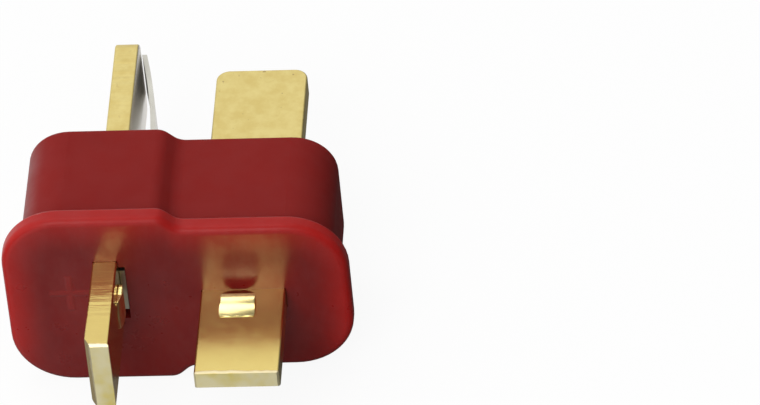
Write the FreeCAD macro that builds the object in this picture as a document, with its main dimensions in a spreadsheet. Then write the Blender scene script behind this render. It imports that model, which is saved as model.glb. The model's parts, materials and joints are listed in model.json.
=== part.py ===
import FreeCAD, Part
import os
import Sketcher

# Two-blade T power connector, male half: a moulded red housing, two stamped
# gold-plated contacts (one upright, one flat) and a bowed leaf spring beside each.
# Frame: origin in the middle of the mating face, blades point to -Y, solder tabs
# to +Y, +X to the right seen from the mating side, +Z up. Millimetres.

os.makedirs("parts", exist_ok=True)
doc = FreeCAD.newDocument("connector")

# Driving sizes

SIZES = {
    # flange at the mating end
    "flange_half_width": 8.2,
    "flange_tall_half": 5.13,
    "flange_thickness": 1.0,
    "flange_corner": 2.9,
    "rim_front_round": 0.38,
    "rim_back_round": 0.25,
    # body behind the flange, set in from its edge
    "flange_side_overhang": 0.82,
    "flange_edge_overhang": 0.65,
    "body_depth": 7.28,
    "body_corner": 2.1,
    "body_back_round": 0.25,
    # slanted step between the tall and the low half
    "step_height": 0.7,
    "body_step_start": 0.8,
    "flange_step_start": 0.45,
    "step_run": 0.75,
    "step_round": 0.8,
    # stamped contact, the same for both places
    "contact_thickness": 1.17,
    "blade_half_width": 2.0,
    "blade_length": 5.75,
    "blade_tip_corner": 0.1,
    "tip_bevel_depth": 0.3,
    "tip_bevel_length": 0.55,
    "tab_half_width": 2.22,
    "tab_end": 15.7,
    "tab_corner": 0.65,
    "contact_edge_round": 0.1,
    "shoulder_depth": 2.6,
    # retaining bump pressed up on the blade just in front of the mating face
    "bump_height": 0.25,
    "bump_length": 1.9,
    "bump_gap": 0.02,
    "bump_half_width": 0.84,
    "bump_offset": 0.2,
    "bump_crown_round": 0.8,
    "bump_front_round": 0.2,
    "bump_side_round": 0.07,
    # places of the two contacts
    "upright_place": 3.26,
    "flat_place": 3.14,
    "upright_lift": 0.55,
    # fit of a contact in its channel
    "channel_clearance": 0.015,
    # bowed leaf spring
    "spring_thickness": 0.24,
    "spring_half_width": 1.23,
    "spring_end_gap": 0.03,
    "spring_bow": 0.86,
    "spring_front": 0.2,
    "spring_back": 15.65,
    # room for the spring in the housing
    "slot_clearance": 0.06,
    "slot_side_room": 0.4,
    "slot_web": 0.3,
    "spring_clearance": 0.008,
}

sheet = doc.addObject("Spreadsheet::Sheet", "Sizes")
for row, (name, value) in enumerate(SIZES.items(), start=1):
    sheet.set("A%d" % row, name)
    sheet.set("B%d" % row, str(value))
    sheet.setAlias("B%d" % row, name)
doc.recompute()


# Helpers


def term(*pairs):
    """A coordinate as a sum of sized terms: (factor, name), (factor, name)."""
    return pairs


def amount(terms):
    return sum(factor * SIZES[name] for factor, name in terms)


def formula(terms):
    return " + ".join("(%g) * Sizes.%s" % (factor, name) for factor, name in terms)


def plane_of(body, role):
    return next(f for f in body.Origin.OriginFeatures if f.Role == role)


def new_body(name, label):
    body = doc.addObject("PartDesign::Body", name)
    body.Label = label
    doc.recompute()
    return body


def new_sketch(body, name, role, offset=None):
    """A sketch on one of the body's own planes, moved along its normal by offset."""
    sketch = body.newObject("Sketcher::SketchObject", name)
    sketch.AttachmentSupport = (plane_of(body, role), "")
    sketch.MapMode = "FlatFace"
    if offset is not None:
        sketch.setExpression("AttachmentOffset.Base.z", formula(offset))
    return sketch


def place_point(sketch, geometry, end, across, along):
    """Tie one end of a line or arc to the sketch origin by two named sizes."""
    for kind, terms in (("DistanceX", across), ("DistanceY", along)):
        number = sketch.addConstraint(
            Sketcher.Constraint(kind, -1, 1, geometry, end, amount(terms))
        )
        sketch.setExpression("Constraints[%d]" % number, formula(terms))


def polygon(sketch, corners):
    """A closed outline of straight lines with every corner sized."""
    first = sketch.GeometryCount
    count = len(corners)
    for index in range(count):
        start = corners[index]
        stop = corners[(index + 1) % count]
        line = Part.LineSegment(
            FreeCAD.Vector(amount(start[0]), amount(start[1]), 0),
            FreeCAD.Vector(amount(stop[0]), amount(stop[1]), 0),
        )
        sketch.addGeometry(line, False)
    for index in range(count):
        following = (index + 1) % count
        sketch.addConstraint(
            Sketcher.Constraint("Coincident", first + index, 2, first + following, 1)
        )
    for index, corner in enumerate(corners):
        place_point(sketch, first + index, 1, corner[0], corner[1])


def rectangle(sketch, left, right, low, high):
    polygon(sketch, [(left, low), (right, low), (right, high), (left, high)])


def pad(body, sketch, name, length, back=False, both=False):
    feature = body.newObject("PartDesign::Pad", name)
    feature.Profile = sketch
    feature.Type = 0
    feature.Midplane = both
    feature.Reversed = back
    feature.setExpression("Length", formula(length))
    sketch.Visibility = False
    doc.recompute()
    return feature


def pocket(body, sketch, name, length=None, back=False, both=False):
    """A cut from the sketch; right through where no length is given."""
    before = body.Shape.Volume
    feature = body.newObject("PartDesign::Pocket", name)
    feature.Profile = sketch
    feature.Midplane = both
    feature.Reversed = back
    if length is None:
        feature.Type = 1
    else:
        feature.Type = 0
        feature.setExpression("Length", formula(length))
    sketch.Visibility = False
    doc.recompute()
    if body.Shape.Volume >= before - 1e-6:
        raise RuntimeError(name + " removes nothing")
    return feature


def edges_where(feature, test):
    """Names of the edges that pass a test on their middle and direction."""
    found = []
    for number, edge in enumerate(feature.Shape.Edges, start=1):
        first, last = edge.ParameterRange
        middle = edge.valueAt((first + last) / 2)
        span = edge.valueAt(last) - edge.valueAt(first)
        if test(edge, middle, span):
            found.append("Edge%d" % number)
    return found


def fillet(body, base, name, names, radius):
    if not names:
        raise RuntimeError(name + " finds no edges")
    feature = body.newObject("PartDesign::Fillet", name)
    feature.Base = (base, names)
    feature.setExpression("Radius", formula(radius))
    doc.recompute()
    return feature


def along_depth(edge, span):
    return span.Length > 0.1 and abs(abs(span.y) - span.Length) < 1e-6


# Housing outline: a tall half on the left, a low half on the right, and a
# slanted step between them above and below


FLANGE_WIDTH = term((1, "flange_half_width"))
FLANGE_TALL = term((1, "flange_tall_half"))
FLANGE_LOW = term(*FLANGE_TALL, (-1, "step_height"))
BODY_WIDTH = term(*FLANGE_WIDTH, (-1, "flange_side_overhang"))
BODY_TALL = term(*FLANGE_TALL, (-1, "flange_edge_overhang"))
BODY_LOW = term(*BODY_TALL, (-1, "step_height"))


def minus(terms):
    return [(-factor, name) for factor, name in terms]


def stepped_outline(half_width, tall, low, step_start):
    step_left = term((-1, step_start))
    step_right = term((-1, step_start), (1, "step_run"))
    return [
        (minus(half_width), minus(tall)),
        (step_left, minus(tall)),
        (step_right, minus(low)),
        (half_width, minus(low)),
        (half_width, low),
        (step_right, low),
        (step_left, tall),
        (minus(half_width), tall),
    ]


def near_step(middle, step_start):
    """Beside one of the four bends of the slanted step."""
    bends = (-SIZES[step_start], -SIZES[step_start] + SIZES["step_run"])
    return min(abs(middle.x - bend) for bend in bends) < 1e-3


housing = new_body("Housing", "housing")

body_sketch = new_sketch(housing, "BodyOutline", "XZ_Plane")
polygon(
    body_sketch,
    stepped_outline(BODY_WIDTH, BODY_TALL, BODY_LOW, "body_step_start"),
)
moulded = pad(housing, body_sketch, "MouldedBody", term((1, "body_depth")), back=True)
body_width = amount(BODY_WIDTH)
moulded_corners = fillet(
    housing,
    moulded,
    "BodyCorners",
    edges_where(moulded, lambda e, m, s: along_depth(e, s) and abs(m.x) > body_width - 1e-3),
    term((1, "body_corner")),
)
moulded_steps = fillet(
    housing,
    moulded_corners,
    "BodySteps",
    edges_where(
        moulded_corners,
        lambda e, m, s: along_depth(e, s) and near_step(m, "body_step_start"),
    ),
    term((1, "step_round")),
)
body_back = SIZES["body_depth"]
moulded_back = fillet(
    housing,
    moulded_steps,
    "BodyBack",
    edges_where(moulded_steps, lambda e, m, s: abs(m.y - body_back) < 1e-6 and abs(s.y) < 1e-6),
    term((1, "body_back_round")),
)

# Flange round the mating end, with a rounded rim
flange_sketch = new_sketch(housing, "FlangeOutline", "XZ_Plane")
polygon(
    flange_sketch,
    stepped_outline(FLANGE_WIDTH, FLANGE_TALL, FLANGE_LOW, "flange_step_start"),
)
flange = pad(housing, flange_sketch, "Flange", term((1, "flange_thickness")), back=True)
flange_back = SIZES["flange_thickness"]
flange_width = amount(FLANGE_WIDTH)


def on_flange(middle):
    return 0 < middle.y < flange_back


flange_corners = fillet(
    housing,
    flange,
    "FlangeCorners",
    edges_where(flange, lambda e, m, s: along_depth(e, s) and abs(m.x) > flange_width - 1e-3),
    term((1, "flange_corner")),
)
flange_steps = fillet(
    housing,
    flange_corners,
    "FlangeSteps",
    edges_where(
        flange_corners,
        lambda e, m, s: along_depth(e, s) and on_flange(m) and near_step(m, "flange_step_start"),
    ),
    term((1, "step_round")),
)
front_rim = fillet(
    housing,
    flange_steps,
    "FrontRim",
    edges_where(flange_steps, lambda e, m, s: abs(m.y) < 1e-6 and abs(s.y) < 1e-6),
    term((1, "rim_front_round")),
)


side_limit = body_width + SIZES["flange_side_overhang"] / 4
tall_limit = amount(BODY_TALL) + SIZES["flange_edge_overhang"] / 4
low_limit = amount(BODY_LOW) + SIZES["flange_edge_overhang"] / 4


def beyond_body(middle):
    """Outside the body's own outline, so on the outer edge of the flange."""
    return (
        abs(middle.x) > side_limit
        or abs(middle.z) > tall_limit
        or (middle.x > 0 and abs(middle.z) > low_limit)
    )


back_rim = fillet(
    housing,
    front_rim,
    "BackRim",
    edges_where(
        front_rim,
        lambda e, m, s: abs(m.y - flange_back) < 1e-6 and abs(s.y) < 1e-6 and beyond_body(m),
    ),
    term((1, "rim_back_round")),
)

# Channels through the housing. Seen from the mating side: the upright contact
# has its spring to the right, the flat contact has its spring below

UPRIGHT = (-1, "upright_place")
FLAT = (1, "flat_place")
LIFT = (1, "upright_lift")
HALF_THICK = (0.5, "contact_thickness")
MINUS_HALF_THICK = (-0.5, "contact_thickness")
ROOM = (1, "channel_clearance")
MINUS_ROOM = (-1, "channel_clearance")


SLOT_HALF_WIDTH = term((1, "spring_half_width"), (1, "slot_side_room"))
SLOT_DEPTH = term((1, "spring_end_gap"), (1, "spring_thickness"), (1, "slot_clearance"))


def both_channels(sketch, half_width_terms):
    """One rectangle for each contact, closed on the side away from the spring."""
    negative = minus(half_width_terms)
    rectangle(
        sketch,
        term(UPRIGHT, MINUS_HALF_THICK),
        term(UPRIGHT, HALF_THICK, ROOM),
        term(LIFT, *negative),
        term(LIFT, *half_width_terms),
    )
    rectangle(
        sketch,
        term(FLAT, *negative),
        term(FLAT, *half_width_terms),
        term(MINUS_HALF_THICK, MINUS_ROOM),
        term(HALF_THICK),
    )


def both_spring_rooms(sketch, depth_terms):
    """One rectangle beside each contact on its spring side."""
    rectangle(
        sketch,
        term(UPRIGHT),
        term(UPRIGHT, HALF_THICK, *depth_terms),
        term(LIFT, *minus(SLOT_HALF_WIDTH)),
        term(LIFT, *SLOT_HALF_WIDTH),
    )
    rectangle(
        sketch,
        term(FLAT, *minus(SLOT_HALF_WIDTH)),
        term(FLAT, *SLOT_HALF_WIDTH),
        term(MINUS_HALF_THICK, *minus(depth_terms)),
        term((-0.25, "contact_thickness")),
    )


blade_sketch = new_sketch(housing, "BladeChannels", "XZ_Plane")
both_channels(blade_sketch, [(1, "blade_half_width"), ROOM])
pocket(housing, blade_sketch, "BladeCut")

tab_sketch = new_sketch(housing, "TabChannels", "XZ_Plane", term((-1, "shoulder_depth")))
both_channels(tab_sketch, [(1, "tab_half_width"), ROOM])
pocket(housing, tab_sketch, "TabCut")

slot_sketch = new_sketch(housing, "SpringSlots", "XZ_Plane")
both_spring_rooms(slot_sketch, SLOT_DEPTH)
pocket(housing, slot_sketch, "SlotCut", term((2, "slot_web")))

# The spring bows on one circle between its two ends, so that its outer face
# meets the rear edge of its room
half_chord = (SIZES["spring_back"] - SIZES["spring_front"]) / 2
spring_middle = (SIZES["spring_back"] + SIZES["spring_front"]) / 2
bow = SIZES["spring_bow"]
spring_radius = half_chord ** 2 / (2 * bow) + bow / 2
outer_radius = spring_radius + SIZES["spring_thickness"]
outer_crest = SIZES["spring_end_gap"] + bow + SIZES["spring_thickness"]
rear_step = spring_middle - SIZES["body_depth"]
room_depth = outer_crest - outer_radius + (outer_radius ** 2 - rear_step ** 2) ** 0.5
SIZES["room_depth"] = room_depth + SIZES["spring_clearance"]
SIZES["spring_radius"] = spring_radius
for row, name in enumerate(("room_depth", "spring_radius"), start=len(SIZES) + 1):
    sheet.set("A%d" % row, name)
    sheet.setAlias("B%d" % row, name)
sheet.set(
    sheet.getCellFromAlias("spring_radius"),
    "=((spring_back - spring_front) / 2) ^ 2 / (2 * spring_bow) + spring_bow / 2",
)
sheet.set(
    sheet.getCellFromAlias("room_depth"),
    "=spring_end_gap + spring_bow - spring_radius + spring_clearance"
    " + sqrt((spring_radius + spring_thickness) ^ 2"
    " - ((spring_back + spring_front) / 2 - body_depth) ^ 2)",
)
doc.recompute()

room_sketch = new_sketch(housing, "SpringRooms", "XZ_Plane", term((-1, "slot_web")))
both_spring_rooms(room_sketch, [(1, "room_depth")])
pocket(housing, room_sketch, "RoomCut")


# Contacts


def add_contact(name, label, placement):
    """One stamped contact: blade, shoulders and solder tab, with its bump to +X."""
    body = new_body(name, label)

    strip_sketch = new_sketch(body, name + "Strip", "YZ_Plane")
    tip = term((-1, "blade_length"))
    tip_side = term((-1, "blade_length"), (1, "blade_tip_corner"))
    tip_edge = term((1, "blade_half_width"), (-1, "blade_tip_corner"))
    minus_tip_edge = term((-1, "blade_half_width"), (1, "blade_tip_corner"))
    shoulder = term((1, "shoulder_depth"))
    end = term((1, "tab_end"))
    polygon(
        strip_sketch,
        [
            (tip, minus_tip_edge),
            (tip_side, term((-1, "blade_half_width"))),
            (shoulder, term((-1, "blade_half_width"))),
            (shoulder, term((-1, "tab_half_width"))),
            (end, term((-1, "tab_half_width"))),
            (end, term((1, "tab_half_width"))),
            (shoulder, term((1, "tab_half_width"))),
            (shoulder, term((1, "blade_half_width"))),
            (tip_side, term((1, "blade_half_width"))),
            (tip, tip_edge),
        ],
    )
    strip = pad(body, strip_sketch, name + "Blank", term((1, "contact_thickness")), both=True)

    tab_end = SIZES["tab_end"]
    rounded = fillet(
        body,
        strip,
        name + "TabCorners",
        edges_where(strip, lambda e, m, s: abs(s.x) > 1.0 and abs(m.y - tab_end) < 1e-6),
        term((1, "tab_corner")),
    )

    # Lead-in bevel across the tip, on the face away from the bump
    bevel_sketch = new_sketch(body, name + "BevelOutline", "XY_Plane")
    polygon(
        bevel_sketch,
        [
            (term(MINUS_HALF_THICK, (1, "tip_bevel_depth")), tip),
            (term(MINUS_HALF_THICK), term((-1, "blade_length"), (1, "tip_bevel_length"))),
            (
                term(MINUS_HALF_THICK, (-1, "tip_bevel_depth")),
                term((-1, "blade_length"), (1, "tip_bevel_length")),
            ),
            (term(MINUS_HALF_THICK, (-1, "tip_bevel_depth")), term((-1.2, "blade_length"))),
            (term(MINUS_HALF_THICK, (1, "tip_bevel_depth")), term((-1.2, "blade_length"))),
        ],
    )
    bevelled = pocket(
        body, bevel_sketch, name + "Bevel", term((3, "blade_half_width")), both=True
    )

    half_thick = SIZES["contact_thickness"] / 2
    softened = fillet(
        body,
        bevelled,
        name + "Edges",
        edges_where(
            bevelled,
            lambda e, m, s: abs(abs(m.x) - half_thick) < 1e-6
            and abs(s.x) < 1e-6
            and abs(s.z) < 1e-6
            and abs(s.y) > SIZES["shoulder_depth"],
        ),
        term((1, "contact_edge_round")),
    )

    add_bump(body, name)
    body.Placement = placement
    doc.recompute()
    return body


def add_bump(body, name):
    """A low D-shaped swelling: round towards the housing, straight at the front."""
    face_x = SIZES["contact_thickness"] / 2
    top_x = face_x + SIZES["bump_height"]
    rear = -SIZES["bump_gap"]
    front = -SIZES["bump_gap"] - SIZES["bump_length"]
    foot = new_sketch(body, name + "BumpFoot", "YZ_Plane", term(HALF_THICK))
    rectangle(
        foot,
        term((-1, "bump_gap"), (-1, "bump_length")),
        term((-1, "bump_gap")),
        term((1, "bump_offset"), (-1, "bump_half_width")),
        term((1, "bump_offset"), (1, "bump_half_width")),
    )
    block = pad(body, foot, name + "BumpBlock", term((1, "bump_height")))
    crown = fillet(
        body,
        block,
        name + "BumpCrown",
        edges_where(
            block,
            lambda e, m, s: abs(s.x) > 0.9 * SIZES["bump_height"]
            and face_x < m.x < top_x
            and abs(m.y - rear) < 1e-6,
        ),
        term((1, "bump_crown_round")),
    )
    corners = fillet(
        body,
        crown,
        name + "BumpFront",
        edges_where(
            crown,
            lambda e, m, s: abs(s.x) > 0.9 * SIZES["bump_height"]
            and face_x < m.x < top_x
            and abs(m.y - front) < 1e-6,
        ),
        term((1, "bump_front_round")),
    )
    fillet(
        body,
        corners,
        name + "BumpSides",
        edges_where(corners, lambda e, m, s: abs(m.x - top_x) < 1e-6 and m.y > front + 1e-3),
        term((1, "bump_side_round")),
    )

    # Its top is rounded from front to back on one circle
    top = new_sketch(body, name + "BumpTop", "XY_Plane")
    half_length = SIZES["bump_length"] / 2
    height = SIZES["bump_height"]
    radius = half_length ** 2 / (2 * height) + height / 2
    middle = rear - half_length
    base = SIZES["contact_thickness"] / 2
    crest = Part.Arc(
        FreeCAD.Vector(base, front, 0),
        FreeCAD.Vector(base + height, middle, 0),
        FreeCAD.Vector(base, rear, 0),
    )
    top.addGeometry(crest, False)
    clear = base + 3 * height
    corners = [(base, rear), (clear, rear), (clear, front), (base, front)]
    for start, stop in zip(corners[:-1], corners[1:]):
        top.addGeometry(
            Part.LineSegment(
                FreeCAD.Vector(start[0], start[1], 0), FreeCAD.Vector(stop[0], stop[1], 0)
            ),
            False,
        )
    arc = top.Geometry[0]
    front_end = 1 if arc.StartPoint.y < middle else 2
    rear_end = 3 - front_end
    top.addConstraint(Sketcher.Constraint("Coincident", 0, rear_end, 1, 1))
    top.addConstraint(Sketcher.Constraint("Coincident", 1, 2, 2, 1))
    top.addConstraint(Sketcher.Constraint("Coincident", 2, 2, 3, 1))
    top.addConstraint(Sketcher.Constraint("Coincident", 3, 2, 0, front_end))
    rear_terms = term((-1, "bump_gap"))
    front_terms = term((-1, "bump_gap"), (-1, "bump_length"))
    clear_terms = term(HALF_THICK, (3, "bump_height"))
    place_point(top, 1, 1, term(HALF_THICK), rear_terms)
    place_point(top, 2, 1, clear_terms, rear_terms)
    place_point(top, 3, 1, clear_terms, front_terms)
    place_point(top, 3, 2, term(HALF_THICK), front_terms)
    number = top.addConstraint(
        Sketcher.Constraint("DistanceX", -1, 1, 0, 3, base + height - radius)
    )
    top.setExpression(
        "Constraints[%d]" % number,
        "Sizes.contact_thickness / 2 + Sizes.bump_height / 2"
        " - (Sizes.bump_length / 2) ^ 2 / (2 * Sizes.bump_height)",
    )
    pocket(body, top, name + "BumpRound", term((4, "bump_half_width")), both=True)


upright_spot = FreeCAD.Placement(
    FreeCAD.Vector(-SIZES["upright_place"], 0, SIZES["upright_lift"]),
    FreeCAD.Rotation(),
)
flat_spot = FreeCAD.Placement(
    FreeCAD.Vector(SIZES["flat_place"], 0, 0),
    FreeCAD.Rotation(FreeCAD.Vector(0, 1, 0), -90),
)
contact_upright = add_contact("ContactUpright", "contact_upright", upright_spot)
contact_flat = add_contact("ContactFlat", "contact_flat", flat_spot)
# Leaf springs


def add_spring(name, label, placement):
    """A thin strip bowed away from the +X face of its contact."""
    body = new_body(name, label)
    sketch = new_sketch(body, name + "Profile", "XY_Plane")
    start = SIZES["spring_front"]
    stop = SIZES["spring_back"]
    near = SIZES["contact_thickness"] / 2 + SIZES["spring_end_gap"]
    centre_x = near + SIZES["spring_bow"] - SIZES["spring_radius"]
    centre_y = (start + stop) / 2

    def arc_at(radius):
        reach = (radius ** 2 - ((stop - start) / 2) ** 2) ** 0.5
        return Part.Arc(
            FreeCAD.Vector(centre_x + reach, start, 0),
            FreeCAD.Vector(centre_x + radius, centre_y, 0),
            FreeCAD.Vector(centre_x + reach, stop, 0),
        )

    inner = SIZES["spring_radius"]
    outer = inner + SIZES["spring_thickness"]
    sketch.addGeometry(arc_at(inner), False)
    sketch.addGeometry(arc_at(outer), False)
    ends = []
    for arc in sketch.Geometry:
        ends.append((1, 2) if arc.StartPoint.y < centre_y else (2, 1))
    for which in (0, 1):
        inner_point = sketch.getPoint(0, ends[0][which])
        outer_point = sketch.getPoint(1, ends[1][which])
        sketch.addGeometry(Part.LineSegment(inner_point, outer_point), False)
        line = 2 + which
        sketch.addConstraint(Sketcher.Constraint("Coincident", line, 1, 0, ends[0][which]))
        sketch.addConstraint(Sketcher.Constraint("Coincident", line, 2, 1, ends[1][which]))
        sketch.addConstraint(Sketcher.Constraint("Horizontal", line))
    sketch.addConstraint(Sketcher.Constraint("Coincident", 0, 3, 1, 3))
    place_point(
        sketch,
        0,
        3,
        term(HALF_THICK, (1, "spring_end_gap"), (1, "spring_bow"), (-1, "spring_radius")),
        term((0.5, "spring_front"), (0.5, "spring_back")),
    )
    for geometry, radius, words in (
        (0, inner, "Sizes.spring_radius"),
        (1, outer, "Sizes.spring_radius + Sizes.spring_thickness"),
    ):
        number = sketch.addConstraint(Sketcher.Constraint("Radius", geometry, radius))
        sketch.setExpression("Constraints[%d]" % number, words)
    for which, name_of_size in ((0, "spring_front"), (1, "spring_back")):
        number = sketch.addConstraint(
            Sketcher.Constraint("DistanceY", -1, 1, 0, ends[0][which], SIZES[name_of_size])
        )
        sketch.setExpression("Constraints[%d]" % number, "Sizes." + name_of_size)
    pad(body, sketch, name + "Strip", term((2, "spring_half_width")), both=True)
    body.Placement = placement
    doc.recompute()
    return body


spring_upright = add_spring("SpringUpright", "spring_upright", upright_spot)
below_flat = FreeCAD.Placement(
    FreeCAD.Vector(SIZES["flat_place"], 0, 0),
    FreeCAD.Rotation(FreeCAD.Vector(0, 1, 0), 90),
)
spring_flat = add_spring("SpringFlat", "spring_flat", below_flat)
for upright_piece in (contact_upright, spring_upright):
    upright_piece.setExpression("Placement.Base.x", "-Sizes.upright_place")
    upright_piece.setExpression("Placement.Base.z", "Sizes.upright_lift")
for flat_piece in (contact_flat, spring_flat):
    flat_piece.setExpression("Placement.Base.x", "Sizes.flat_place")
doc.recompute()

# Check and write

PARTS = [housing, contact_upright, contact_flat, spring_upright, spring_flat]
for item in doc.Objects:
    for word in ("Invalid", "Error"):
        if word in item.State:
            raise RuntimeError("%s is %s" % (item.Name, word))
for piece in PARTS:
    shape = piece.Shape
    if shape.isNull() or not shape.isValid():
        raise RuntimeError(piece.Label + " has no valid shape")
    if len(shape.Solids) != 1:
        raise RuntimeError(piece.Label + " is not one solid")
    shape.exportStep(os.path.join("parts", piece.Label + ".step"))
    print(piece.Label, round(shape.Volume, 3), "mm3")
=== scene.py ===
import bpy
import json
import math
from mathutils import Matrix, Vector


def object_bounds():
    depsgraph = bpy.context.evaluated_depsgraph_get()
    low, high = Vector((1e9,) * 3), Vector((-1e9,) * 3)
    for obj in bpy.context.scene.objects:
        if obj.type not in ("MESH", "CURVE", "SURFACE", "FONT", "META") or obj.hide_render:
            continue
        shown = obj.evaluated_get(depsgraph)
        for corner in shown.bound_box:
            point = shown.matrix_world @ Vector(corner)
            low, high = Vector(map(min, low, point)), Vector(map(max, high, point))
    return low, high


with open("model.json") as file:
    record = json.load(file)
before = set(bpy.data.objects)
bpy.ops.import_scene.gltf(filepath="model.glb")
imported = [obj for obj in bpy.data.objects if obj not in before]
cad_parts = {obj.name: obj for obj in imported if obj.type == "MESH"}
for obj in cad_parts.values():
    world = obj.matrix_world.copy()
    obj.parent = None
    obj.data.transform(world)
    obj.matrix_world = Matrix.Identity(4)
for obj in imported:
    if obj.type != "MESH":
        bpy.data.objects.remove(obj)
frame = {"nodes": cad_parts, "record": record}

from types import SimpleNamespace

CAD_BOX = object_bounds()
LOW, HIGH = CAD_BOX
MOUNT_AT = {mount["name"]: Vector(mount["pos_m"]) for mount in frame["record"]["mounts"]}
MM = 0.001

# Camera, as fitted to the photograph: angles in degrees, and the origin's place in the picture in pixels
AZIMUTH, ELEVATION, ROLL = (math.radians(angle) for angle in (6.55, 42.0, -5.71))
FOCAL_PX = 8000.0
DISTANCE = 378.09 * MM
IMAGE_W, IMAGE_H = 760.0, 405.0
ORIGIN_AT = (178.2, 300.0)
SENSOR_W = 36.0
CLIP = (0.01, 10.0)


def add_camera():
    back = Vector((math.sin(AZIMUTH) * math.cos(ELEVATION),
                   -math.cos(AZIMUTH) * math.cos(ELEVATION), math.sin(ELEVATION)))
    level = Vector((math.cos(AZIMUTH), math.sin(AZIMUTH), 0))
    upward = back.cross(level)
    across = level * math.cos(ROLL) + upward * math.sin(ROLL)
    upright = -level * math.sin(ROLL) + upward * math.cos(ROLL)
    per_px = DISTANCE / FOCAL_PX
    right_px, down_px = ORIGIN_AT[0] - IMAGE_W / 2, ORIGIN_AT[1] - IMAGE_H / 2
    place = back * DISTANCE - across * right_px * per_px + upright * down_px * per_px
    data = bpy.data.cameras.new("camera")
    data.sensor_width = SENSOR_W
    data.lens = SENSOR_W * FOCAL_PX / IMAGE_W
    data.clip_start, data.clip_end = CLIP
    camera = bpy.data.objects.new("camera", data)
    camera.matrix_world = Matrix.Translation(place) @ Matrix((across, upright, back)).transposed().to_4x4()
    bpy.context.scene.collection.objects.link(camera)
    bpy.context.scene.camera = camera


# The way in which a noise's shift moves it
SHIFT_WAY = (1.0, 0.7, 1.3)


class Graph:
    """The shader nodes of one material or world. Its methods take sockets or plain numbers as values."""

    def __init__(self, owner, output, coordinates):
        owner.use_nodes = True
        self.owner = owner
        self.tree = owner.node_tree
        self.tree.nodes.clear()
        self.output = self.tree.nodes.new(output)
        self.where = self.add("ShaderNodeTexCoord").outputs[coordinates]
        self.place = self.parts(self.where)

    def add(self, kind, settings=None, **inputs):
        node = self.tree.nodes.new(kind)
        for key, value in (settings or {}).items():
            setattr(node, key, value)
        for key, value in inputs.items():
            self.feed(node.inputs[key.replace("_", " ")], value)
        return node

    def feed(self, socket, value):
        if isinstance(value, bpy.types.NodeSocket):
            self.tree.links.new(value, socket)
        else:
            socket.default_value = value

    def parts(self, vector):
        """The three numbers of a vector, by axis letter."""
        return self.add("ShaderNodeSeparateXYZ", Vector=vector).outputs

    def facing(self):
        return self.parts(self.add("ShaderNodeNewGeometry").outputs["Normal"])

    def math(self, operation, *values):
        node = self.add("ShaderNodeMath", {"operation": operation})
        for socket, value in zip(node.inputs, values):
            self.feed(socket, value)
        return node.outputs[0]

    def plus(self, first, *others):
        for other in others:
            first = self.math("ADD", first, other)
        return first

    def times(self, first, *others):
        for other in others:
            first = self.math("MULTIPLY", first, other)
        return first

    def minus(self, first, second):
        return self.math("SUBTRACT", first, second)

    def unsigned(self, value):
        return self.math("ABSOLUTE", value)

    def fade(self, value, low, high, to_low=0.0, to_high=1.0):
        """A smooth change from to_low to to_high as value goes from low to high."""
        node = self.add("ShaderNodeMapRange", {"interpolation_type": "SMOOTHSTEP"},
                        Value=value, From_Min=low, From_Max=high, To_Min=to_low, To_Max=to_high)
        return node.outputs[0]

    def fall(self, value, low, high):
        """A smooth change from 1 to 0 as value goes from low to high."""
        return self.fade(value, low, high, 1.0, 0.0)

    def vector(self, operation, vector, numbers):
        node = self.add("ShaderNodeVectorMath", {"operation": operation})
        self.feed(node.inputs[0], vector)
        node.inputs[1].default_value = numbers
        return node

    def noise(self, scale, detail=2.0, rough=0.5, stretch=None, shift=0.0):
        vector = self.where
        if stretch:
            vector = self.vector("MULTIPLY", vector, stretch).outputs[0]
        if shift:
            vector = self.vector("ADD", vector, tuple(shift * part for part in SHIFT_WAY)).outputs[0]
        node = self.add("ShaderNodeTexNoise", Vector=vector, Scale=scale, Detail=detail, Roughness=rough)
        return node.outputs["Fac"]

    def mix(self, share, first, second):
        """A blend of two colours, by the node's colour sockets, since others have the same names."""
        node = self.add("ShaderNodeMix", {"data_type": "RGBA"}, Factor=share)
        colour_a, colour_b, result = node.inputs[6], node.inputs[7], node.outputs[2]
        self.feed(colour_a, first)
        self.feed(colour_b, second)
        return result

    def layers(self, tone, *coats):
        """The tone under coats of colour, each given as its share and its colour."""
        for share, colour in coats:
            tone = self.mix(share, tone, colour)
        return tone

    def bumps(self, *reliefs):
        """The normal after reliefs laid one on the other, each given as its shape, height and strength."""
        normal = None
        for shape, height, strength in reliefs:
            node = self.add("ShaderNodeBump", Height=shape, Distance=height, Strength=strength)
            if normal is not None:
                self.feed(node.inputs["Normal"], normal)
            normal = node.outputs[0]
        return normal

    def finish(self, kind, **inputs):
        """Puts a shader of the given kind, with its inputs, on the output, and returns the owner."""
        return self.show(self.add(kind, **inputs))

    def show(self, shader):
        self.tree.links.new(shader.outputs[0], self.output.inputs["Surface"])
        return self.owner


def material_graph(name):
    return Graph(bpy.data.materials.new(name), "ShaderNodeOutputMaterial", "Object")


def rgb(red, green, blue):
    return (red, green, blue, 1.0)


def grey(level):
    return rgb(level, level, level)


# Spans of a noise's value that most fades use, and strengths of a relief
WIDE, MEDIUM, NARROW = (0.2, 0.8), (0.25, 0.75), (0.3, 0.7)
FULL, FIRM, GENTLE = 1.0, 0.9, 0.8

# The flange, from the frame where the frame has it. STEP_X is where its top changes from tall to low.
FLANGE_HALF = HIGH.x
FLANGE_TALL = HIGH.z
FLANGE_STEP = 0.70 * MM
FLANGE_LOW = FLANGE_TALL - FLANGE_STEP
FLANGE_CORNER = 2.9 * MM
FLANGE_BACK = MOUNT_AT["flange_back"].y
FLANGE_END = (FLANGE_BACK - 0.15 * MM, FLANGE_BACK + 0.05 * MM)
STEP_X = (-0.45 * MM, 0.30 * MM)

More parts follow.
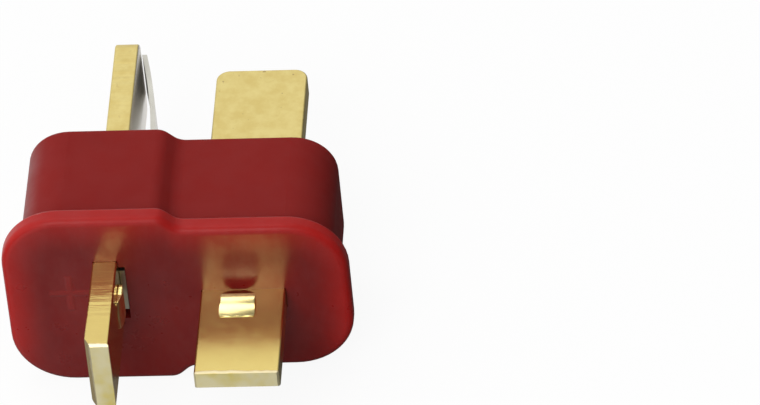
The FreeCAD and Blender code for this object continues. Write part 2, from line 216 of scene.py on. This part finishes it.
# The moulded plus sign: its middle across and up, its arms' half lengths, half stroke and soft edge
PLUS_AT = (-5.10 * MM, 0.58 * MM)
PLUS_HALF = (0.95 * MM, 1.08 * MM)
PLUS_STROKE = 0.15 * MM
PLUS_SOFT = 0.09 * MM

# The rim's painted glow, a brighter red that stands in for light caught in the flange's rounded edge:
# how far it reaches in, where it grows from the foot up and from the middle to the sides, and its share at
# the middle
RIM_REACH = 2.0 * MM
RIM_FOOT = (-5.6 * MM, -2.2 * MM)
RIM_SIDE = (5.5 * MM, 8.0 * MM)
RIM_MIDDLE_SHARE = 0.66

# Parts of the normal between which a surface counts as turned to the front or to the left
FACE_TURN = (-0.98, -0.80)
LEFT_TURN = (-1.0, -0.5)

# Noises of the nylon, with scales for one metre
CLOUDS = {"scale": 260.0, "detail": 3.0, "rough": 0.55}
PATCHES = {"scale": 900.0, "detail": 3.0, "rough": 0.6, "shift": 0.31}
SMEARS = {"scale": 620.0, "detail": 4.0, "rough": 0.65, "stretch": (1.0, 1.0, 0.5), "shift": 0.45}
WAVES = {"scale": 330.0, "detail": 1.0, "rough": 0.4, "shift": 0.12}
NICKS = {"scale": 1300.0, "detail": 3.0, "rough": 0.65, "shift": 0.77}
GRAIN = {"scale": 9000.0, "detail": 2.0, "rough": 0.6}

FACE_REDS = (rgb(0.200, 0.0105, 0.0100), rgb(0.235, 0.0135, 0.0120))
PATCH_RED, PATCH_SHARE, PATCH_SPAN = rgb(0.26, 0.022, 0.018), 0.16, (0.62, 0.78)
# Painted light: the body's red is lighter and paler than the flange's, standing in for the light and matte
# sheen on the body's top.
BODY_LIT_RED, BODY_LIT_SHARE = rgb(0.260, 0.0200, 0.0175), 0.65
PLUS_RED, PLUS_SHARE = rgb(0.31, 0.018, 0.015), 0.45
# Painted glow: this brighter red along the rim stands in for light caught in the flange's rounded edge.
RIM_GLOW_RED = rgb(0.470, 0.0165, 0.0140)

FACE_ROUGH, BODY_ROUGH = (0.26, 0.34), (0.46, 0.56)
DULLER_UP, DULLER_Z = 0.09, (0.8 * MM, 4.2 * MM)
BODY_GLOSS, FLANGE_GLOSS = 0.08, 0.24
FACE_MORE_GLOSS, LEFT_MORE_GLOSS = 0.50, 0.50
SMEAR_GLOSS = (0.72, 1.20)

# The flange's face leans a little between its left edge and its middle, more so higher up
LEAN_X, LEAN_Z = (-5.6 * MM, -1.0 * MM), (0.0, 4.5 * MM)
LEAN_HEIGHT = 0.36 * MM
WAVE_HEIGHT = 0.045 * MM
NICK_HEIGHT = 0.035 * MM
PLUS_HEIGHT = 0.028 * MM
GRAIN_HEIGHT = 0.006 * MM

NYLON_IOR = 1.42
NYLON_DEPTH_SHARE = 0.35
NYLON_DEPTH = (1.0, 0.14, 0.10)


def plus_mark(g):
    """1 inside the strokes of the moulded plus sign, softly falling to 0 at their edges."""
    off_x = g.unsigned(g.minus(g.place["X"], PLUS_AT[0]))
    off_z = g.unsigned(g.minus(g.place["Z"], PLUS_AT[1]))

    def inside(value, half):
        return g.fall(value, half - PLUS_SOFT, half + PLUS_SOFT)

    upright = g.times(inside(off_x, PLUS_STROKE), inside(off_z, PLUS_HALF[1]))
    level = g.times(inside(off_z, PLUS_STROKE), inside(off_x, PLUS_HALF[0]))
    return g.math("MAXIMUM", upright, level)


def from_edge(g):
    """Distance in from the flange's top and side edges, with its rounded corners."""
    top = g.fade(g.place["X"], *STEP_X, FLANGE_TALL, FLANGE_LOW)
    past_x = g.minus(g.unsigned(g.place["X"]), FLANGE_HALF - FLANGE_CORNER)
    past_z = g.plus(g.minus(g.place["Z"], top), FLANGE_CORNER)
    out_x = g.math("MAXIMUM", past_x, 0.0)
    out_z = g.math("MAXIMUM", past_z, 0.0)
    corner = g.math("SQRT", g.plus(g.times(out_x, out_x), g.times(out_z, out_z)))
    within = g.math("MINIMUM", g.math("MAXIMUM", past_x, past_z), 0.0)
    return g.minus(FLANGE_CORNER, g.plus(corner, within))


def nylon_zones(g):
    """Where each kind of surface lies on the housing, as shares from 0 to 1."""
    facing = g.facing()
    flange = g.fall(g.place["Y"], *FLANGE_END)
    body = g.minus(1.0, flange)
    grown = g.fade(g.unsigned(g.place["X"]), *RIM_SIDE, RIM_MIDDLE_SHARE, 1.0)
    return SimpleNamespace(
        flange=flange,
        body=body,
        face=g.times(g.fall(facing["Y"], *FACE_TURN), flange),
        left_side=g.times(g.fall(facing["X"], *LEFT_TURN), body),
        rim=g.times(g.fall(from_edge(g), 0.0, RIM_REACH), flange, g.fade(g.place["Z"], *RIM_FOOT), grown),
        plus=g.times(plus_mark(g), flange))


def nylon_tone(g, zones, patches):
    face = g.mix(g.fade(g.noise(**CLOUDS), *NARROW), *FACE_REDS)
    return g.layers(face,
                    (g.times(g.fade(patches, *PATCH_SPAN), PATCH_SHARE), PATCH_RED),
                    # painted light: the body's lighter, paler red
                    (g.times(zones.body, BODY_LIT_SHARE), BODY_LIT_RED),
                    # painted glow along the rim
                    (zones.rim, RIM_GLOW_RED),
                    (g.times(zones.plus, PLUS_SHARE), PLUS_RED))


def nylon_rough(g, zones, patches):
    flange = g.plus(g.fade(patches, *WIDE, *FACE_ROUGH), g.fade(g.place["Z"], *DULLER_Z, 0.0, DULLER_UP))
    body = g.fade(patches, *WIDE, *BODY_ROUGH)
    return g.plus(g.times(flange, zones.flange), g.times(body, zones.body))


def nylon_gloss(g, zones):
    even = g.plus(g.fade(zones.flange, 0.0, 1.0, BODY_GLOSS, FLANGE_GLOSS),
                  g.times(zones.face, FACE_MORE_GLOSS), g.times(zones.left_side, LEFT_MORE_GLOSS))
    return g.times(even, g.fade(g.noise(**SMEARS), *NARROW, *SMEAR_GLOSS))


def nylon_relief(g, zones):
    lean = g.times(g.fade(g.place["X"], *LEAN_X), g.fade(g.place["Z"], *LEAN_Z), zones.flange)
    return g.bumps((lean, LEAN_HEIGHT, FULL),
                   (g.noise(**WAVES), WAVE_HEIGHT, FULL),
                   (g.times(g.noise(**NICKS), zones.rim, zones.rim), NICK_HEIGHT, FULL),
                   (zones.plus, PLUS_HEIGHT, FULL),
                   (g.times(g.noise(**GRAIN), zones.body), GRAIN_HEIGHT, GENTLE))


def red_nylon():
    g = material_graph("red_nylon")
    zones = nylon_zones(g)
    patches = g.noise(**PATCHES)
    return g.finish(
        "ShaderNodeBsdfPrincipled", Base_Color=nylon_tone(g, zones, patches),
        Roughness=nylon_rough(g, zones, patches), Specular_IOR_Level=nylon_gloss(g, zones),
        Normal=nylon_relief(g, zones), IOR=NYLON_IOR, Subsurface_Weight=NYLON_DEPTH_SHARE,
        Subsurface_Radius=NYLON_DEPTH, Subsurface_Scale=MM)


# The contacts: where the tab's duller plating begins, where the blade is painted lighter towards the
# flange as a painted reflection, and the wavy burr line just behind the blade's end face
TAB_Y = (2.0 * MM, 7.0 * MM)
ROOT_Y = (-3.0 * MM, -0.8 * MM)
BURR_Y = LOW.y + 0.27 * MM
BURR_WAVER = 0.42 * MM
BURR_EDGE = (0.02 * MM, 0.16 * MM)

# The bump's shading: a ramp from its foot to its knee, a steeper crown to its top, and a rear that
# drops to the flange. Foot, knee and top are distances in front of the flange. The offset is from the
# middle of the strip's width, the base is over the middle of its thickness, and a slope is the rise
# for each unit of length.
BUMP_FOOT = 1.92 * MM
BUMP_KNEE = 1.24 * MM
BUMP_TOP = 0.45 * MM
RAMP_SLOPE, CROWN_SLOPE, REAR_SLOPE = 0.10, 0.42, 0.60
BUMP_OFFSET = 0.2 * MM
BUMP_HALF = 0.84 * MM
BUMP_BASE = (0.60 * MM, 0.63 * MM)
BUMP_SIDE_FALL = 0.05 * MM
BUMP_BLEND = 0.05 * MM

# Parts of the normal between which a surface counts as an end face, a sheared side or the spring's side
END_TURN = (-0.85, -0.60)
SHEARED_TURN = (0.55, 0.85)
SPRING_TURN = (0.60, 0.90)

# Noises of the plating, with scales for one metre
SOFT_CLOUDS = {"scale": 420.0, "detail": 3.0, "rough": 0.5, "shift": 0.2}
MOTTLE = {"scale": 1400.0, "detail": 4.0, "rough": 0.62}
SPECKS = {"scale": 3600.0, "detail": 1.0, "rough": 0.4, "shift": 0.57}
ROLLED = {"scale": 1500.0, "detail": 1.0, "rough": 0.5, "stretch": (1.0, 0.35, 1.0)}
SHEAR_STRETCH = (0.12, 1.0, 0.12)
SHEAR_STREAKS = {"scale": 2600.0, "detail": 3.0, "rough": 0.6, "stretch": SHEAR_STRETCH}
SHEAR_STEPS = {"scale": 700.0, "detail": 2.0, "rough": 0.5, "stretch": SHEAR_STRETCH, "shift": 0.4}
BURR_WAVES = {"scale": 900.0, "detail": 2.0, "rough": 0.5, "stretch": (1.0, 0.0, 1.0), "shift": 0.8}

TAB_GOLDS = (rgb(0.64, 0.505, 0.180), rgb(0.71, 0.595, 0.245))
# Painted reflection: the blade is made lighter towards the flange, standing in for light it reflects from
# the flange's face.
ROOT_SHEEN_GOLD, ROOT_SHEEN_SHARE = rgb(0.97, 0.75, 0.27), 0.8
END_GOLD, END_SHARE = rgb(0.99, 0.84, 0.27), 0.95
# Painted highlight: the burr is real relief, but its pale line stands in for light caught by the rolled
# edge.
BURR_HIGHLIGHT_GOLD, BURR_HIGHLIGHT_SHARE = rgb(1.0, 0.93, 0.64), 0.8
# Painted highlight: the bump is a lighter, paler gold than the blade, adding to the lamp's highlight.
BUMP_HIGHLIGHT_GOLD = rgb(0.92, 0.76, 0.34)
SPECK_BROWN, SPECK_SPAN = rgb(0.30, 0.20, 0.09), (0.735, 0.78)
# Painted reflection: the tab's pale side by the spring stands in for the bright surroundings it mirrors.
SPRING_SIDE_REFLECTION_PALE = rgb(0.94, 0.91, 0.85)

GOLD_ROUGH = (0.19, 0.26)
TAB_ROUGHER, END_ROUGHER, BURR_ROUGHER = 0.20, 0.28, 0.20
END_METAL, SPRING_SIDE_LESS_METAL = 0.42, 0.2

STREAK_SHARE = 0.6
SHEAR_HEIGHT = 0.035 * MM
MOTTLE_HEIGHT = 0.010 * MM
ROLLED_HEIGHT = 0.006 * MM
BURR_HEIGHT = 0.004 * MM

# What sets the two contacts apart. wide is the axis across the strip, which its sheared narrow sides
# face, and through is the axis through its thickness. turn is the side to which the bump lies off, and
# pale_reflection_share is how much of the pale tone, a painted reflection, the tab has on the spring's
# side.
UPRIGHT = SimpleNamespace(
    middle=MOUNT_AT["blade_upright"], wide="Z", through="X", turn=1.0, speck_share=0.15, pale_reflection_share=1.0,
    golds=(rgb(0.69, 0.520, 0.165), rgb(0.76, 0.600, 0.215)))
# Painted light: the flat contact's golds are lighter than the upright's, to match its brighter,
# upward-facing top.
FLAT = SimpleNamespace(
    middle=MOUNT_AT["blade_flat"], wide="X", through="Z", turn=-1.0, speck_share=0.6, pale_reflection_share=0.0,
    golds=(rgb(0.76, 0.585, 0.185), rgb(0.83, 0.670, 0.240)))


def from_middle(g, strip, axis):
    """Distance from the middle of the strip along an axis."""
    return g.minus(g.place[axis], strip.middle["XYZ".index(axis)])


def burr_line(g):
    """1 on the wavy line of the burr behind the blade's end face, softly falling to 0 on both sides."""
    waver = g.times(g.noise(**BURR_WAVES), BURR_WAVER)
    return g.fall(g.unsigned(g.minus(g.plus(g.place["Y"], waver), BURR_Y)), *BURR_EDGE)


def gold_zones(g, strip):
    """Where each kind of surface lies on a contact, as shares from 0 to 1."""
    depth = g.place["Y"]
    facing = g.facing()
    tab = g.fade(depth, *TAB_Y)
    return SimpleNamespace(
        tab=tab,
        root=g.fade(depth, *ROOT_Y),
        end=g.fall(facing["Y"], *END_TURN),
        sheared=g.fade(g.unsigned(facing[strip.wide]), *SHEARED_TURN),
        spring_side=g.times(g.fade(facing[strip.through], *SPRING_TURN), tab, strip.pale_reflection_share),
        raised=g.fade(from_middle(g, strip, strip.through), *BUMP_BASE),
        burr=burr_line(g))


def gold_tone(g, strip, zones, mottle):
    blade = g.mix(g.noise(**SOFT_CLOUDS), *strip.golds)
    # painted reflection: lighter towards the flange
    blade = g.mix(g.times(zones.root, ROOT_SHEEN_SHARE), blade, ROOT_SHEEN_GOLD)
    tab = g.mix(g.fade(mottle, *NARROW), *TAB_GOLDS)
    specks = g.times(g.fade(g.noise(**SPECKS), *SPECK_SPAN), zones.tab, strip.speck_share)
    return g.layers(g.mix(zones.tab, blade, tab),
                    (g.times(zones.end, END_SHARE), END_GOLD),
                    # painted reflection on the tab's side by the spring
                    (zones.spring_side, SPRING_SIDE_REFLECTION_PALE),
                    (specks, SPECK_BROWN),
                    # painted highlight on the burr
                    (g.times(zones.burr, BURR_HIGHLIGHT_SHARE), BURR_HIGHLIGHT_GOLD),
                    # painted highlight on the bump
                    (zones.raised, BUMP_HIGHLIGHT_GOLD))


def gold_rough(g, zones, mottle):
    return g.plus(g.fade(mottle, *MEDIUM, *GOLD_ROUGH), g.times(zones.tab, TAB_ROUGHER),
                  g.times(zones.end, END_ROUGHER), g.times(zones.burr, BURR_ROUGHER))


def gold_metal(g, zones):
    return g.minus(g.fade(zones.end, 0.0, 1.0, 1.0, END_METAL),
                   g.times(zones.spring_side, SPRING_SIDE_LESS_METAL))


def bump_shape(g, strip):
    """Height of the bump's shading over its foot, in metres."""
    depth = g.place["Y"]
    knee = RAMP_SLOPE * (BUMP_FOOT - BUMP_KNEE)
    top = knee + CROWN_SLOPE * (BUMP_KNEE - BUMP_TOP)
    ramp = g.math("MULTIPLY_ADD", depth, RAMP_SLOPE, RAMP_SLOPE * BUMP_FOOT)
    crown = g.math("MULTIPLY_ADD", depth, CROWN_SLOPE, knee + CROWN_SLOPE * BUMP_KNEE)
    rear = g.math("MULTIPLY_ADD", depth, -REAR_SLOPE, top - REAR_SLOPE * BUMP_TOP)
    front = g.math("SMOOTH_MAX", ramp, crown, BUMP_BLEND)
    across = g.times(from_middle(g, strip, strip.wide), strip.turn)
    share = g.math("DIVIDE", g.minus(across, BUMP_OFFSET), BUMP_HALF)
    return g.minus(g.math("SMOOTH_MIN", front, rear, BUMP_BLEND), g.times(share, share, BUMP_SIDE_FALL))


def gold_relief(g, strip, zones, mottle):
    shear = g.plus(g.times(g.noise(**SHEAR_STREAKS), STREAK_SHARE), g.noise(**SHEAR_STEPS))
    bump = g.math("DIVIDE", g.times(bump_shape(g, strip), zones.raised), MM)
    return g.bumps((g.noise(**ROLLED), ROLLED_HEIGHT, FIRM),
                   (g.times(shear, zones.sheared), SHEAR_HEIGHT, FULL),
                   (g.times(mottle, zones.tab), MOTTLE_HEIGHT, GENTLE),
                   (zones.burr, BURR_HEIGHT, GENTLE),
                   (bump, MM, FULL))


def gold_plate(name, strip):
    g = material_graph(name)
    zones = gold_zones(g, strip)
    mottle = g.noise(**MOTTLE)
    return g.finish(
        "ShaderNodeBsdfPrincipled", Base_Color=gold_tone(g, strip, zones, mottle),
        Metallic=gold_metal(g, zones), Roughness=gold_rough(g, zones, mottle),
        Normal=gold_relief(g, strip, zones, mottle))


SPRING_GREYS = (rgb(0.54, 0.525, 0.470), rgb(0.66, 0.645, 0.580))
SPRING_ROUGH = (0.24, 0.38)
SPRING_CLOUDS = {"scale": 500.0, "detail": 2.0, "rough": 0.5, "shift": 0.3}
DRAWN = {"scale": 2400.0, "detail": 3.0, "rough": 0.55, "stretch": (1.0, 0.08, 1.0)}
DRAWN_HEIGHT = 0.004 * MM


def spring_plate():
    g = material_graph("spring_plate")
    drawn = g.noise(**DRAWN)
    return g.finish(
        "ShaderNodeBsdfPrincipled",
        Base_Color=g.mix(g.fade(g.noise(**SPRING_CLOUDS), *NARROW), *SPRING_GREYS),
        Metallic=1.0, Roughness=g.fade(drawn, *WIDE, *SPRING_ROUGH),
        Normal=g.bumps((drawn, DRAWN_HEIGHT, FIRM)))


def dress(materials):
    for node_name, material in materials.items():
        mesh = frame["nodes"][node_name].data
        mesh.materials.clear()
        mesh.materials.append(material)


# The floor is white paper for the camera. Other rays see painted shade on it: dim in front, lighter behind
# and dark at the right, and glossy rays also see a glowing stretch of it, painted light, behind the object
# at the left.
FLOOR_Z = LOW.z - 0.02 * MM
FLOOR_REACH = 1.5
PAPER_GREYS = (grey(0.93), grey(0.96))
PAPER_CLOUDS = {"scale": 14.0}
PAPER_ROUGH = 0.9
PAPER_GLOW_SHARE = 0.92
FRONT_GREY, REAR_GREY, REAR_Y = grey(0.32), grey(0.60), (-4.0 * MM, 22.0 * MM)
RIGHT_GREY, RIGHT_SHARE, RIGHT_X = grey(0.06), 0.85, (3.0 * MM, 10.0 * MM)
LIT_Y, LIT_X = (4.0 * MM, 9.0 * MM), (1.0 * MM, 6.0 * MM)


def floor_paper():
    g = material_graph("floor_paper")
    ray = g.add("ShaderNodeLightPath").outputs
    x, y = g.place["X"], g.place["Y"]
    paper = g.mix(g.noise(**PAPER_CLOUDS), *PAPER_GREYS)
    cast = g.layers(FRONT_GREY, (g.fade(y, *REAR_Y), REAR_GREY),
                    (g.fade(x, *RIGHT_X, 0.0, RIGHT_SHARE), RIGHT_GREY))
    matt = g.add("ShaderNodeBsdfPrincipled", Base_Color=g.mix(ray["Is Camera Ray"], cast, paper),
                 Roughness=PAPER_ROUGH, Specular_IOR_Level=0.0)
    glow = g.add("ShaderNodeEmission", Color=grey(1.0), Strength=1.0)
    lit = g.times(g.fade(y, *LIT_Y), g.fall(x, *LIT_X), ray["Is Glossy Ray"])
    share = g.math("MAXIMUM", g.times(ray["Is Camera Ray"], PAPER_GLOW_SHARE), lit)
    both = g.add("ShaderNodeMixShader")
    for socket, value in zip(both.inputs, (share, matt.outputs[0], glow.outputs[0])):
        g.feed(socket, value)
    return g.show(both)


def add_floor():
    mesh = bpy.data.meshes.new("floor")
    corners = [(x * FLOOR_REACH, y * FLOOR_REACH, FLOOR_Z) for x, y in ((-1, -1), (1, -1), (1, 1), (-1, 1))]
    mesh.from_pydata(corners, [], [(0, 1, 2, 3)])
    mesh.materials.append(floor_paper())
    floor = bpy.data.objects.new("floor", mesh)
    bpy.context.scene.collection.objects.link(floor)


# The studio round the object, by the direction in which a ray goes. Soft light is stronger from the
# left. Glossy rays see the left bright, the right dim, and dark patches overhead and low in front.
SOFT_X, SOFT_LIGHT = (-0.30, 0.75), (0.70, 0.16)
SHINY_X, SHINY_LIGHT = (0.05, 0.75), (1.0, 0.25)
OVERHEAD_WAY, OVERHEAD_SPAN, OVERHEAD_LIGHT = (0.0, -0.26, 0.966), (0.86, 0.975), (1.0, 0.22)
FRONT_Y, FRONT_Z, FRONT_LIGHT = (-0.85, -0.50), (0.24, 0.52), (0.12, 1.0)


def add_world():
    world = bpy.data.worlds.new("world")
    bpy.context.scene.world = world
    g = Graph(world, "ShaderNodeOutputWorld", "Generated")
    ray = g.add("ShaderNodeLightPath").outputs
    overhead = g.vector("DOT_PRODUCT", g.where, OVERHEAD_WAY).outputs["Value"]
    low_down = g.fade(g.place["Z"], *FRONT_Z, *FRONT_LIGHT)
    soft = g.fade(g.place["X"], *SOFT_X, *SOFT_LIGHT)
    shiny = g.times(g.fade(g.place["X"], *SHINY_X, *SHINY_LIGHT),
                    g.fade(overhead, *OVERHEAD_SPAN, *OVERHEAD_LIGHT),
                    g.fade(g.place["Y"], *FRONT_Y, low_down, 1.0))
    by_ray = g.fade(ray["Is Glossy Ray"], 0.0, 1.0, soft, shiny)
    by_eye = g.fade(ray["Is Camera Ray"], 0.0, 1.0, by_ray, 1.0)
    g.finish("ShaderNodeBackground", Color=grey(1.0), Strength=by_eye)


def add_lamp(name, place, power, size):
    """A square lamp that shines at the origin."""
    data = bpy.data.lights.new(name, "AREA")
    data.shape = "SQUARE"
    data.size = size
    data.energy = power
    lamp = bpy.data.objects.new(name, data)
    lamp.location = place
    lamp.rotation_euler = (-Vector(place)).to_track_quat("-Z", "Y").to_euler()
    bpy.context.scene.collection.objects.link(lamp)


add_camera()

spring = spring_plate()
dress({
    "housing": red_nylon(),
    "contact_upright": gold_plate("gold_upright", UPRIGHT),
    "contact_flat": gold_plate("gold_flat", FLAT),
    "spring_upright": spring,
    "spring_flat": spring,
})

add_floor()
add_world()
add_lamp("key", place=(-0.07, -0.33, 0.31), power=0.9, size=0.25)
add_lamp("top", place=(-0.08, 0.10, 0.48), power=0.5, size=0.30)
bpy.context.scene.view_settings.view_transform = "Standard"
